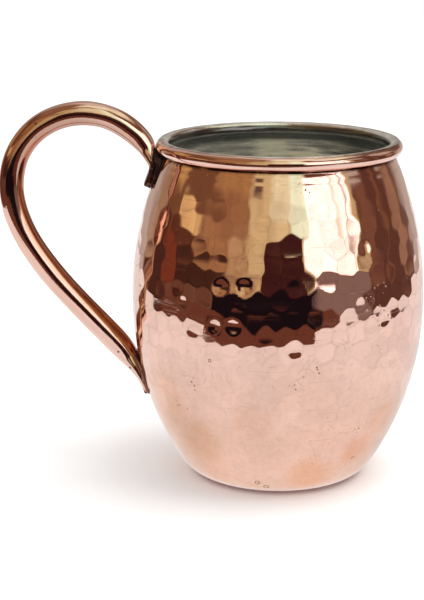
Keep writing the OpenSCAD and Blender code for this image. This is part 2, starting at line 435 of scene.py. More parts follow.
def tube_sizes(u):
    """(centre, direction, half thickness, half width, flatness) of the handle at each u."""
    place, way = spline(u)
    r = (TUBE_D_TOP + (TUBE_D_LOW - TUBE_D_TOP) * smooth_step(np.asarray(u) / ROUTE_END)) / 2
    t = np.minimum(np.minimum(place[..., 2], 1) * r, wall_gap(place[..., :2]) - LEAST_BRAZE)
    flat = 1 - smooth_step((t - FLAT_T) / (r - FLAT_T))
    d = np.clip(np.minimum(u, ROUTE_END - u) / TIP_STEPS, 0, 1)
    w = (t + (r - t) * math.pi / 2) * (0.6 + 0.4 * np.sqrt(1 - (1 - d) ** 2))
    return place[..., :2], way, t, w, flat


def tube_outline(w, t, sides):
    """Outline of a flattened tube: round where w equals t, a stadium where it is wider."""
    n = sides // 4
    flat = max(w - t, 0.0)
    s = np.arange(n + 1) / n * (flat + t * math.pi / 2)
    a = np.where(s < flat, 0, (s - flat) / t)
    quarter = np.stack([np.where(s < flat, s, flat + t * np.sin(a)), t * np.cos(a)], axis=-1)
    half = np.concatenate([quarter[:-1], quarter[:0:-1] * (1, -1)])
    return np.concatenate([half, -half])


def across(centre, way, p, bend):
    """Points of a section in space; bend is how far the section follows the curve of the barrel."""
    r = float(wall_r(min(centre[1], RIM_Z)))
    sag = bend * (r - np.sqrt(r**2 - p[:, 0] ** 2))
    return np.stack([centre[0] - way[1] * p[:, 1] + sag, p[:, 0], centre[1] + way[0] * p[:, 1]], axis=-1)


def tube_dips(u, angle):
    """Small dents and flats of a tube bent by hand, never outward."""
    dips = 0.035 * (1 + np.sin(2.3 * u + angle)) + 0.02 * (1 + np.sin(5.1 * u - 2 * angle + 1))
    for at, where, depth, long in HANDLE_DENTS:
        turn = (angle - where + math.pi) % (2 * math.pi) - math.pi
        dips = dips + depth * bell((u - at) / long) * bell(turn / 0.7)
    return -dips


def tube(skin, us, inset, sides, flip=False):
    """Closed skin of the tube through us, inset into its wall.

    It gives each point's place across the tube, from 1 on the left of the route to -1 on its right.
    """
    centre, way, t, w, flat = tube_sizes(us)
    turn = full_turn(sides)
    grid, facing = [], []
    for i, u in enumerate(us):
        outline = tube_outline(w[i] - inset, t[i] - inset, sides)
        facing.append(outline[:, 1] / (t[i] - inset))
        calm = (1 - flat[i]) * smooth_step((t[i] - 1.2) / 1.5)
        outline = outline * (1 + tube_dips(u, turn) * calm / max(t[i], 0.5))[:, None]
        outline[:, 1] -= bead_push(u) * np.clip(-outline[:, 1] / t[i], 0, 1)
        if not inset:
            near = min(max(min(u, ROUTE_END - u) / TIP_ROUND, 0), 1)
            outline = outline * (0.45 + 0.55 * math.sqrt(1 - (1 - near) ** 2))
        grid.append(across(centre[i], way[i], outline, flat[i]))
    ids = skin.grid(np.array(grid), flip=flip)
    skin.cap(ids[0], flip=not flip)
    skin.cap(ids[-1], flip=flip)
    return np.concatenate(facing)


def handle():
    """Bent copper tube, pressed flat at both ends and hollow up to the lower tongue."""
    skin = Skin()
    tip = TIP_ROUND * (1 - np.cos(np.linspace(0, math.pi / 2, 9)[:-1]))
    upper = np.linspace(TIP_ROUND, 4, 60, endpoint=False)
    middle = np.linspace(4, 14, 150, endpoint=False)
    lower = np.linspace(14, ROUTE_END - TIP_ROUND, 60)
    us = np.concatenate([tip, upper, middle, lower, ROUTE_END - tip[::-1]])
    bore = np.linspace(TIP_ROUND, ROUTE_END - SHUT_STEPS, 120)
    facing = tube(skin, us, 0, TUBE_SIDES)
    tube(skin, bore, TUBE_T, BORE_SIDES, flip=True)
    facing = np.concatenate([facing, np.zeros(len(bore) * BORE_SIDES)])
    at = np.concatenate([np.repeat(us, TUBE_SIDES), np.repeat(bore, BORE_SIDES)])
    top = 1 - smooth_step((at - 2.3 + 0.85 * facing) / 1.3)
    low = smooth_step((at - (ROUTE_END - 1.25) - 0.3 * facing) / 1.2)
    return skin.build("tube_handle", {"scale": np.maximum(top, low), "inside": facing}, crease=50)


# ---------------------------------------------------------------- brazed joints
def barrel_r(z):
    """Radius of the outside of the barrel at a height, rolled rim included."""
    roll = 0
    if abs(z - RIM_Z) < ROLL_R:
        roll = RIM_R + math.sqrt(ROLL_R**2 - (z - RIM_Z) ** 2) + 0.04
    return max(float(wall_r(z)) + 0.01, roll)


def bead_push(u):
    """How far the handle is pressed towards the rolled rim where it passes it."""
    return BEAD_PUSH * bell((u - BEAD_AT) / BEAD_WIDE)


def braze_side(u, t, run, drawn, phase):
    """(x, y, foot) of one side of a fillet's section, along the tongue and round its edge."""
    turn = np.radians(np.linspace(0, 60 - 34 * drawn, 9))
    reach, under = t + BRAZE_TOUCH, t + BRAZE_TOUCH + bead_push(u)
    x = np.concatenate([run * np.arange(4) / 4, run + reach * np.sin(turn)])
    y = np.concatenate([np.full(4, -under), -under * np.cos(turn)])
    spread = BRAZE_FILLET * (0.72 + 0.2 * math.sin(3.1 * u + phase[0]) + 0.08 * math.sin(9 * u + phase[1]))
    climb = 0.75 + 0.2 * math.sin(4.3 * u + phase[2])
    foot = x + spread * (1 - drawn) * np.arange(len(x)) / (len(x) - 1)
    return x, np.where(y > -t, -t + (y + t) * climb, y), foot


def braze(name, u0, u1, free, face, seed):
    """Uneven fillet of brazing metal between a tongue and the wall, from u0 to u1 along the route.

    free is the one of the two where it ends short of a tip. Beside the rolled rim it is drawn up between the
    tube and the roll. face is 1 where the wall is left of the route, and -1 where it is right of it.
    """
    phase = np.random.default_rng(seed).uniform(0, 6, 6)
    us = np.linspace(u0, u1, 40)
    centre, way, t, w, flat = tube_sizes(us)
    grid = []
    for i, u in enumerate(us):
        run = max(w[i] - t[i], 0.02)
        drawn = smooth_step((u - UPPER_JOINT + 0.3) / 1.0) if free == u1 else 0.0
        xa, ya, foot_a = braze_side(u, t[i], run, drawn, phase[0::2])
        xb, yb, foot_b = braze_side(u, t[i], run, drawn, phase[1::2])
        top = np.concatenate([np.stack([xa, ya], -1)[::-1], np.stack([-xb, yb], -1)[1:]])
        top = across(centre[i], way[i], face * top * (1, -1), flat[i])
        y = -face * np.concatenate([foot_a[::-1], -foot_b[1:]])
        height = centre[i][1]
        bed = np.stack([-np.sqrt(barrel_r(height) ** 2 - y**2), y, np.full_like(y, height)], axis=-1)
        swell = 1 - min(abs(u - free) / FREE_ROUND, 1)
        bed = top[::-1] + (bed - top[::-1]) * max(math.sqrt(1 - swell**2), 0.05)
        grid.append(np.concatenate([top, bed]))
    skin = Skin()
    ids = skin.grid(np.array(grid))
    skin.cap(ids[0], flip=True)
    skin.cap(ids[-1])
    return skin.build(name, crease=60)


# ---------------------------------------------------------------- material helpers
class Nodes:
    """Short names for the shader nodes of one material or world."""

    def __init__(self, tree):
        self.tree = tree

    def new(self, kind, **inputs):
        node = self.tree.nodes.new(kind)
        for key, value in inputs.items():
            self.set(node, key.replace("_", " "), value)
        return node

    def set(self, node, key, value):
        socket = node.inputs[key]
        if isinstance(value, bpy.types.NodeSocket):
            self.tree.links.new(value, socket)
        else:
            socket.default_value = value

    def math(self, operation, *values, clamp=False):
        node = self.tree.nodes.new("ShaderNodeMath")
        node.operation, node.use_clamp = operation, clamp
        for i, value in enumerate(values):
            self.set(node, i, value)
        return node.outputs[0]

    def times(self, a, b):
        return self.math("MULTIPLY", a, b)

    def plus(self, a, b):
        return self.math("ADD", a, b)

    def minus(self, a, b, clamp=False):
        return self.math("SUBTRACT", a, b, clamp=clamp)

    def most(self, a, b):
        return self.math("MAXIMUM", a, b)

    def size(self, a):
        return self.math("ABSOLUTE", a)

    def ramp(self, value, a, b, low=0.0, high=1.0):
        """Smooth step from low where the value is a to high where it is b."""
        node = self.tree.nodes.new("ShaderNodeMapRange")
        node.interpolation_type = "SMOOTHSTEP"
        node.clamp = True
        for i, x in enumerate((value, a, b, low, high)):
            self.set(node, i, x)
        return node.outputs[0]

    def mix(self, factor, a, b):
        node = self.tree.nodes.new("ShaderNodeMix")
        node.data_type = "RGBA"
        self.set(node, 0, factor)
        self.set(node, 6, a)
        self.set(node, 7, b)
        return node.outputs[2]

    def noise(self, vector, scale, detail=3.0, rough=0.55):
        node = self.tree.nodes.new("ShaderNodeTexNoise")
        self.set(node, "Vector", vector)
        node.inputs["Scale"].default_value = scale
        node.inputs["Detail"].default_value = detail
        node.inputs["Roughness"].default_value = rough
        return node.outputs[0]

    def voronoi(self, vector, scale, plane=False):
        node = self.tree.nodes.new("ShaderNodeTexVoronoi")
        node.voronoi_dimensions = "2D" if plane else "3D"
        self.set(node, "Vector", vector)
        node.inputs["Scale"].default_value = scale
        return node.outputs["Distance"]

    def distance(self, vector, place_mm):
        node = self.tree.nodes.new("ShaderNodeVectorMath")
        node.operation = "DISTANCE"
        self.set(node, 0, vector)
        node.inputs[1].default_value = [c * MM for c in place_mm]
        return node.outputs["Value"]

    def spot(self, vector, place_mm, size_mm):
        """1 at a place, falling to 0 at the distance size_mm from it."""
        return self.ramp(self.distance(vector, place_mm), size_mm * MM, 0.35 * size_mm * MM)

    def painted(self, name):
        """Value that the mesh stores on its points under a name."""
        node = self.tree.nodes.new("ShaderNodeAttribute")
        node.attribute_name = name
        return node.outputs["Fac"]

    def coords(self):
        """(object coordinates in metres, their x, y and z, and those on the barrel: length round, height)."""
        where = self.tree.nodes.new("ShaderNodeTexCoord").outputs["Object"]
        x, y, z = self.new("ShaderNodeSeparateXYZ", Vector=where).outputs
        around = self.times(self.math("ARCTAN2", y, x), BELLY_R * MM)
        flat = self.tree.nodes.new("ShaderNodeCombineXYZ")
        self.set(flat, 0, around)
        self.set(flat, 1, z)
        return where, (x, y, z), flat.outputs[0]

    def mapped(self, vector, key, value):
        node = self.tree.nodes.new("ShaderNodeMapping")
        self.set(node, "Vector", vector)
        node.inputs[key].default_value = value
        return node.outputs[0]

    def stretched(self, vector, x, y, z=1.0):
        return self.mapped(vector, "Scale", (x, y, z))

    def turned(self, vector, degrees):
        return self.mapped(vector, "Rotation", (0, 0, math.radians(degrees)))

    def bump(self, height, distance):
        node = self.tree.nodes.new("ShaderNodeBump")
        node.inputs["Strength"].default_value = 1.0
        node.inputs["Distance"].default_value = distance
        self.set(node, "Height", height)
        return node.outputs[0]


def material(name):
    """(new material, its nodes, its Principled shader)."""
    mat = bpy.data.materials.new(name)
    mat.use_nodes = True
    tree = mat.node_tree
    tree.nodes.clear()
    out = tree.nodes.new("ShaderNodeOutputMaterial")
    shader = tree.nodes.new("ShaderNodeBsdfPrincipled")
    tree.links.new(shader.outputs[0], out.inputs[0])
    return mat, Nodes(tree), shader


# ---------------------------------------------------------------- materials
# A material's coordinates are in metres, and so are the heights and distances in its ramps; places are in mm
COPPER = (0.955, 0.638, 0.538, 1)
WARM_COPPER = (0.90, 0.53, 0.37, 1)
SCALE_DARK = (0.05, 0.022, 0.016, 1)
# Near-black of soot; beside the upper joint it is also painted shade
SOOT_AND_SHADE = (0.018, 0.010, 0.009, 1)
SCALE_RED = (0.24, 0.075, 0.05, 1)
SCALE_PINK = (0.55, 0.30, 0.24, 1)
HAZE = (0.74, 0.46, 0.36, 1)
FILM = (0.78, 0.50, 0.36, 1)
PIT = (0.16, 0.07, 0.045, 1)
MARK_LINE = (0.55, 0.27, 0.19, 1)
FOOT_SHADE = (0.20, 0.035, 0.03, 1)
CREASE_SHADE = (0.06, 0.02, 0.014, 1)
HAIRLINE = (0.40, 0.20, 0.14, 1)
MOTTLE = (0.62, 0.36, 0.27, 1)
CREST_REFLECTION = (0.50, 0.25, 0.18, 1)
SPECK = (0.05, 0.02, 0.015, 1)
INNER_SIDE_SHADE = (0.42, 0.19, 0.12, 1)
TIN_GREY = (0.50, 0.50, 0.45, 1)
TIN_PALE = (1.0, 0.975, 0.87, 1)
TIN_BROWN = (0.46, 0.43, 0.34, 1)
TIN_SIDE_SHADE = (0.085, 0.083, 0.070, 1)
TIN_REFLECTION = (1.0, 0.93, 0.66, 1)
TIN_SHADE = (0.07, 0.075, 0.07, 1)
RIM_PALE_HIGHLIGHT = (1.0, 0.98, 0.91, 1)
RIM_TAN = (0.76, 0.70, 0.62, 1)
RIM_INNER_SHADE = (0.11, 0.11, 0.105, 1)
RIM_THIN = (0.66, 0.38, 0.28, 1)
RIM_WORN = (0.30, 0.15, 0.11, 1)
BRAZE_DARK = (0.11, 0.04, 0.025, 1)
BRAZE_BRIGHT = (0.75, 0.52, 0.38, 1)
BRAZE_BROWN = (0.32, 0.14, 0.085, 1)
WIRE_PALE = (0.72, 0.38, 0.26, 1)
WIRE_DARK = (0.55, 0.26, 0.17, 1)

# Marks on the front of the barrel, in mm: stains and painted side shade as (x, height, size, tint, strength),
# places of pits as (x, height), and round dings as (x, height, size)
STAINS_AND_SIDE_SHADE = (
    (9, 8, 10, (0.87, 0.42, 0.24, 1), 0.55),
    (-24, 18, 10, (0.74, 0.40, 0.25, 1), 0.8),
    (23, 15, 8, (0.86, 0.36, 0.21, 1), 0.65),
    (-9, 27, 8, (0.85, 0.45, 0.26, 1), 0.35),
    (-34, 30, 12, (0.84, 0.46, 0.28, 1), 0.5),
    (31, 24, 9, (0.84, 0.42, 0.26, 1), 0.45),
    (-20, 9, 10, (0.86, 0.44, 0.28, 1), 0.4),
    # Painted shade: the last two darken the lower left and right sides of the barrel
    (-31, 17, 20, (0.80, 0.47, 0.33, 1), 0.6),
    (30, 14, 18, (0.82, 0.50, 0.36, 1), 0.45),
)
PITTED_SIZE = 5.0
PITTED = ((-27, 38), (-29, 30), (24, 22), (14, 27))
DINGS = ((-6.7, 5.2, 0.8), (-4.0, 3.6, 0.85), (22, 12, 0.55), (-21, 46, 0.5))
# Centre and far end of the dark place beside the upper joint: soot with painted shade and reflection of the
# tongue
SOOT_SHADE_AT, SOOT_SHADE_END = (-37.4, -2.5, 97.5), (-37.4, -1.0, 97.0)


def on_front(x, z):
    """Point of the front wall or base edge at x and height z."""
    r = float(wall_r(z))
    if z <= BASE_EDGE * (1 - math.cos(EDGE_A + math.pi / 2)):
        r = EDGE_X + math.sqrt(BASE_EDGE**2 - (BASE_EDGE - z) ** 2)
    return x, -math.sqrt(r**2 - x * x), z


def tarnish_and_painted_shade(n, where, flat, z):
    """Copper that is hazier and stained towards the foot, warmer in patches of tarnish there, and darkened
    and warmed evenly towards the foot by painted shade; two of the stains are painted shade on the lower
    sides.
    """
    low = n.ramp(z, 0.05, 0.006)
    patches = n.ramp(n.noise(where, 40, 5, 0.6), 0.44, 0.66)
    tarnish = n.times(patches, n.plus(n.times(low, 0.62), 0.12))
    # Painted shade: an even darker, warmer copper towards the foot, under the patches of tarnish
    colour = n.mix(n.most(tarnish, n.times(low, 0.4)), COPPER, WARM_COPPER)
    haze = n.ramp(n.noise(where, 240, 4, 0.6), 0.4, 0.68)
    colour = n.mix(n.times(haze, n.ramp(z, 0.05, 0.02, 0.0, 0.3)), colour, HAZE)
    film = n.ramp(n.noise(n.stretched(flat, 30, 90), 1.0, 4), 0.42, 0.62)
    colour = n.mix(n.times(film, n.ramp(z, 0.05, 0.01, 0.0, 0.34)), colour, FILM)
    for x, up, size_mm, tint, amount in STAINS_AND_SIDE_SHADE:
        stain_and_shade = n.times(n.spot(where, on_front(x, up), size_mm), n.ramp(n.noise(where, 95, 4), 0.22, 0.55))
        colour = n.mix(n.times(stain_and_shade, amount), colour, tint)
    return colour


def pits_and_dings(n, where):
    """1 in the small pits, which come in clusters, and on the rings of the round dings."""
    clusters = n.ramp(n.noise(where, 75, 2), 0.62, 0.70)
    for x, up in PITTED:
        clusters = n.most(clusters, n.spot(where, on_front(x, up), PITTED_SIZE))
    clusters = n.times(clusters, n.ramp(n.noise(where, 420, 2), 0.45, 0.55))
    pits = n.times(n.ramp(n.voronoi(where, 720), 0.26, 0.15), clusters)
    for x, up, size_mm in DINGS:
        off = n.math("DIVIDE", n.distance(where, on_front(x, up)), size_mm * MM)
        pits = n.most(pits, n.times(n.ramp(off, 0.55, 0.8), n.ramp(off, 1.15, 0.9)))
    return pits


def hammer_lines(n, where, flat, z):
    """Dark lines on the ridges between strikes, and faint arcs that the hammer's edge left."""
    line = n.ramp(n.painted("ridge"), 0.35, 0.95)
    line = n.times(line, n.ramp(n.noise(where, 110, 2), 0.35, 0.65, 0.06, 0.28))
    line = n.times(line, n.ramp(z, 0.04, 0.06, 0.5, 1.6))
    ring = n.size(n.minus(n.voronoi(flat, 172, plane=True), 0.45))
    arc = n.times(n.ramp(ring, 0.05, 0.015), n.ramp(n.noise(where, 330, 2), 0.48, 0.62, 0.0, 0.26))
    arc = n.times(arc, n.times(n.ramp(z, 0.012, 0.022), n.ramp(z, 0.095, 0.08)))
    return n.most(line, arc)


def crease_shade(n, where, z):
    """Painted shade in the corner under the rolled rim."""
    crease = n.times(n.ramp(z, 0.0990, 0.1001), n.ramp(z, 0.1008, 0.1003))
    return n.times(crease, n.ramp(n.noise(where, 190, 3), 0.3, 0.55, 0.35, 0.95))


def joint_soot_and_shade(n, where, z):
    """Ragged dark place on the neck beside the upper joint: soot, with painted shade and reflection of the
    dark tongue.
    """
    soot_and_shade = n.times(n.spot(where, SOOT_SHADE_AT, 7.5), n.ramp(z, 0.1016, 0.1002))
    soot_and_shade = n.ramp(n.plus(soot_and_shade, n.times(n.minus(n.noise(where, 300, 4), 0.5), 0.9)), 0.3, 0.6)
    return n.times(soot_and_shade, n.ramp(n.distance(where, SOOT_SHADE_END), 0.0085, 0.007))


def scratches(n, flat, along, per_m):
    """Fine lines round the barrel, 1 on a line."""
    return n.ramp(n.noise(n.stretched(flat, along, per_m), 1.0, 2.0, 0.6), 0.60, 0.72)


def hairlines(n, flat):
    """Sparse scratches, some level and some slanting."""
    level = n.ramp(n.noise(n.stretched(flat, 45, 2600), 1.0, 1.0, 0.5), 0.68, 0.75)
    slant = n.ramp(n.noise(n.stretched(n.turned(flat, 62), 60, 2300), 1.0, 1.0, 0.5), 0.74, 0.79)
    return n.most(level, slant)


def body_material():
    mat, n, shader = material("hammered_copper")
    where, (_, _, z), flat = n.coords()
    pits = pits_and_dings(n, where)
    soot_and_shade = joint_soot_and_shade(n, where, z)
    colour = n.mix(n.times(pits, 0.75), tarnish_and_painted_shade(n, where, flat, z), PIT)
    colour = n.mix(hammer_lines(n, where, flat, z), colour, MARK_LINE)
    # Painted shade: a dark line along the foot, where the base meets the floor
    colour = n.mix(n.times(n.ramp(z, 0.0022, 0.0006), 0.9), colour, FOOT_SHADE)
    # Painted shade: a dark line in the corner under the rolled rim
    colour = n.mix(crease_shade(n, where, z), colour, CREASE_SHADE)
    # Soot with painted shade: the dark place beside the upper joint also stands in for the tongue's shade and
    # reflection
    colour = n.mix(n.times(soot_and_shade, 0.95), colour, SOOT_AND_SHADE)
    colour = n.mix(n.times(hairlines(n, flat), 0.26), colour, HAIRLINE)
    mottle = n.ramp(n.noise(where, 620, 3, 0.6), 0.42, 0.66, 0.0, 0.16)
    colour = n.mix(n.times(mottle, n.ramp(z, 0.06, 0.04)), colour, MOTTLE)
    n.set(shader, "Base Color", colour)
    fine, coarse = scratches(n, flat, 60, 5200), scratches(n, flat, 30, 1300)
    smear = n.ramp(n.noise(n.stretched(flat, 40, 260), 1.0, 4), 0.45, 0.75)
    rough = n.plus(n.ramp(z, 0.048, 0.016, 0.035, 0.15), n.times(smear, 0.05))
    rough = n.plus(rough, n.times(fine, 0.03))
    n.set(shader, "Roughness", n.plus(rough, n.times(n.most(pits, soot_and_shade), 0.4)))
    shader.inputs["Metallic"].default_value = 1.0
    height = n.plus(n.times(fine, -0.1), n.times(coarse, -0.15))
    height = n.plus(height, n.times(pits, -6.0))
    height = n.plus(height, n.times(n.noise(where, 260, 3), 1.2))
    n.set(shader, "Normal", n.bump(height, 0.000008))
    return mat


def handle_material():
    mat, n, shader = material("handle_copper")
    where, (x, _, z), _ = n.coords()
    patches = n.ramp(n.noise(where, 45, 4), 0.42, 0.7)
    colour = n.mix(n.times(patches, 0.55), COPPER, WARM_COPPER)
    # Painted reflection: the upper outer part of the handle made browner and darker, as the brown ceiling
    # mirrored there
    crest_reflection = n.times(n.ramp(z, 0.075, 0.1), n.ramp(x, -0.048, -0.064, 0.0, 0.45))
    colour = n.mix(crest_reflection, colour, CREST_REFLECTION)
    specks = n.times(n.ramp(n.voronoi(where, 260), 0.13, 0.06), n.ramp(n.noise(where, 70, 2), 0.55, 0.62))
    colour = n.mix(n.times(specks, 0.9), colour, SPECK)
    inside = n.painted("inside")
    # Painted shade: the inner side of the tube is darker, as the shaded floor mirrored under the handle
    inner_side_shade = n.plus(n.ramp(inside, -0.2, 0.8, 0.0, 0.55), n.ramp(inside, 0.78, 0.99, 0.0, 0.4))
    inner_side_shade = n.times(inner_side_shade, n.ramp(n.noise(where, 60, 3), 0.3, 0.6, 0.75, 1.0))
    colour = n.mix(inner_side_shade, colour, INNER_SIDE_SHADE)
    ragged = n.plus(n.painted("scale"), n.times(n.minus(n.noise(where, 260, 5), 0.5), 1.1))
    fire = n.ramp(ragged, 0.25, 0.75)
    scale = n.mix(n.ramp(n.noise(where, 360, 4), 0.42, 0.68), SCALE_DARK, SCALE_RED)
    scale = n.mix(n.ramp(n.noise(where, 700, 2), 0.68, 0.74), scale, SCALE_PINK)
    n.set(shader, "Base Color", n.mix(fire, colour, scale))
    rough = n.plus(n.ramp(n.noise(where, 90, 4), 0.4, 0.8, 0.06, 0.13), n.times(fire, 0.1))
    n.set(shader, "Roughness", n.plus(rough, n.times(specks, 0.4)))
    n.set(shader, "Metallic", n.minus(1.0, n.times(fire, 0.2)))
    grain = n.plus(n.noise(where, 500, 3), n.times(fire, n.times(n.noise(where, 900, 4), 8.0)))
    n.set(shader, "Normal", n.bump(grain, 0.00002))
    return mat


def tin_inner_colour(n, x, z, smear, blotch, bright):
    """Streaky grey tin, with painted shade at both sides under the rim and a painted reflection between them.
    """
    colour = n.mix(n.ramp(smear, 0.43, 0.57), TIN_GREY, TIN_PALE)
    colour = n.mix(n.times(n.ramp(blotch, 0.5, 0.75), 0.4), colour, TIN_BROWN)
    # Painted shade: darker at both sides of the inside under the rim
    film = n.most(n.ramp(x, 0.004, 0.025, 0.0, 0.97), n.ramp(x, -0.018, -0.031, 0.0, 0.3))
    film = n.times(film, n.times(n.ramp(z, 0.070, 0.092), n.ramp(smear, 0.35, 0.6, 1.0, 0.7)))
    # Painted reflection: the bright place is mixed in over the tin
    return n.mix(bright, n.mix(film, colour, TIN_SIDE_SHADE), TIN_REFLECTION)


def tin_reflection_patch(n, x, y, z, smear, wide, blotch):
    """1 in the painted reflection, a bright place on the far wall under the rim."""
    streaks = n.times(n.ramp(n.size(n.minus(x, 0.004)), 0.022, 0.008), n.ramp(wide, 0.47, 0.56))
    patch = n.times(n.ramp(n.size(n.plus(x, 0.001)), 0.008, 0.003), n.ramp(blotch, 0.38, 0.5))
    bright = n.times(n.most(patch, streaks), n.ramp(y, 0.0, 0.015))
    bright = n.times(bright, n.times(n.ramp(z, 0.1003, 0.0988), n.ramp(z, 0.070, 0.092)))
    return n.times(bright, n.ramp(smear, 0.42, 0.56, 0.65, 1.0))


def rim_wear(n, where, x, across_rim, rim):
    """1 where the tin on the rim is worn to copper: towards the outside, and most at the left and right."""
    worn = n.times(n.ramp(across_rim, -0.0012, 0.001), rim)
    worn = n.times(worn, n.ramp(n.noise(where, 200, 4), 0.36, 0.6, 0.3, 1.0))
    return n.times(worn, n.ramp(n.size(n.minus(x, 0.002)), 0.012, 0.027, 0.1, 0.9))


def tin_rim_colour(n, where, z, across_rim, rim, colour):
    """Adds the painted shade under the rim, the pale tin on top of the roll lightened as a painted highlight,
    painted shade on its inside, and its thin outside.
    """
    under = n.times(n.ramp(z, 0.0975, 0.0998), n.minus(1.0, rim))
    colour = n.mix(n.times(under, 0.9), colour, TIN_SHADE)
    # Painted highlight: the tin on top of the roll is made nearly white
    top = n.mix(n.ramp(n.noise(where, 130, 4), 0.4, 0.62), RIM_PALE_HIGHLIGHT, RIM_TAN)
    colour = n.mix(n.times(rim, 0.85), colour, top)
    # Painted shade: the inside of the roll, which faces into the mug, is darkened
    roll_inside_shade = n.times(n.ramp(across_rim, 0.0002, -0.0006), n.times(n.ramp(z, 0.1040, 0.1035), rim))
    colour = n.mix(n.times(roll_inside_shade, 0.92), colour, RIM_INNER_SHADE)
    thin = n.times(n.ramp(across_rim, 0.0002, 0.0021), rim)
    thin = n.times(thin, n.ramp(n.noise(where, 240, 4), 0.3, 0.65))
    return n.mix(n.times(thin, 0.8), colour, RIM_THIN)


def tin_material():
    mat, n, shader = material("wiped_tin")
    where, (x, y, z), flat = n.coords()
    fine = n.noise(n.stretched(flat, 30, 620), 1.0, 4, 0.6)
    wide = n.noise(n.stretched(flat, 22, 230), 1.0, 3, 0.6)
    smear = n.plus(n.times(fine, 0.5), n.times(wide, 0.5))
    blotch = n.noise(where, 70, 4)
    rim = n.ramp(z, 0.1012, 0.1022)
    across_rim = n.minus(n.math("SQRT", n.plus(n.times(x, x), n.times(y, y))), RIM_R * MM)
    # Painted reflection: a bright yellowish place on the far wall under the rim
    bright = tin_reflection_patch(n, x, y, z, smear, wide, blotch)
    worn = rim_wear(n, where, x, across_rim, rim)
    colour = tin_inner_colour(n, x, z, smear, blotch, bright)
    colour = tin_rim_colour(n, where, z, across_rim, rim, colour)
    n.set(shader, "Base Color", n.mix(worn, colour, RIM_WORN))
    rough = n.plus(n.ramp(smear, 0.3, 0.75, 0.2, 0.36), n.ramp(blotch, 0.4, 0.8, 0.0, 0.08))
    n.set(shader, "Roughness", n.minus(rough, n.times(rim, 0.12)))
    metal = n.plus(n.plus(n.times(rim, 0.35), n.times(worn, 0.3)), 0.6)
    # Less metallic in the painted reflection
    n.set(shader, "Metallic", n.minus(metal, n.times(bright, 0.6), clamp=True))
    height = n.plus(n.times(smear, 2.0), n.noise(where, 300, 4))
    n.set(shader, "Normal", n.bump(height, 0.00009))
    return mat


def braze_material():
    """Sooty brazing metal with small bright places; the lower joint is browner than the upper one."""
    mat, n, shader = material("scaled_braze")
    where, (_, _, z), _ = n.coords()
    blotch = n.noise(where, 420, 5)
    colour = n.mix(n.ramp(blotch, 0.45, 0.7), SOOT_AND_SHADE, BRAZE_DARK)
    bright = n.times(n.ramp(n.noise(where, 900, 3), 0.66, 0.74, 0.0, 0.8), n.ramp(z, 0.097, 0.093))
    colour = n.mix(bright, colour, BRAZE_BRIGHT)
    n.set(shader, "Base Color", n.mix(n.ramp(z, 0.052, 0.044, 0.0, 0.75), colour, BRAZE_BROWN))
    n.set(shader, "Roughness", n.ramp(blotch, 0.3, 0.8, 0.3, 0.55))
    n.set(shader, "Metallic", n.ramp(bright, 0.0, 1.0, 0.55, 1.0))
    n.set(shader, "Normal", n.bump(n.noise(where, 800, 4), 0.00015))
    return mat


def wire_material():
    mat, n, shader = material("drawn_copper_wire")
    where, _, flat = n.coords()
    lines = n.noise(n.stretched(flat, 12, 3000), 1.0, 3)
    n.set(shader, "Base Color", n.mix(n.noise(where, 60, 3), WIRE_PALE, WIRE_DARK))
    n.set(shader, "Roughness", n.ramp(lines, 0.3, 0.8, 0.2, 0.4))
    shader.inputs["Metallic"].default_value = 1.0
    n.set(shader, "Normal", n.bump(lines, 0.00003))
    return mat


# ---------------------------------------------------------------- stage
FLOOR_HALF, FLOOR_DROP = 6, 0.00002
MIRRORED_CORNERS = ((-0.315, -0.095), (0.33, -0.27), (0.34, 1.2), (-0.28, 1.2))


def floor_material(name, shade, spread):
    mat, n, shader = material(name)
    where, _, _ = n.coords()
    clouds = n.ramp(n.noise(where, 14, 4), 0.35, 0.65)
    n.set(shader, "Base Color", n.mix(clouds, (*[shade * (1 - spread)] * 3, 1), (*[shade] * 3, 1)))
    shader.inputs["Roughness"].default_value = 0.9
    shader.inputs["Specular IOR Level"].default_value = 0.1
    return mat


def sheet_of_floor(name, corners, mat):
    mesh = bpy.data.meshes.new(name)
    mesh.from_pydata([(x, y, 0) for x, y in corners], [], [(0, 1, 2, 3)])
    obj = bpy.data.objects.new(name, mesh)
    obj.location.z = -FLOOR_DROP
    bpy.context.scene.collection.objects.link(obj)
    mesh.materials.append(mat)
    return obj


def stage():
    """Pale floor, and the sheet of it that the copper mirrors, which ends in front as a table top does."""
    corners = [(x * FLOOR_HALF, y * FLOOR_HALF) for x, y in ((-1, -1), (1, -1), (1, 1), (-1, 1))]
    floor = sheet_of_floor("floor", corners, floor_material("pale_floor", 0.99, 0.005))
    floor.visible_glossy = False
    sheet = sheet_of_floor("mirrored_sheet", MIRRORED_CORNERS, floor_material("pale_sheet", 0.93, 0.14))
    sheet.visible_camera = sheet.visible_diffuse = sheet.visible_shadow = False


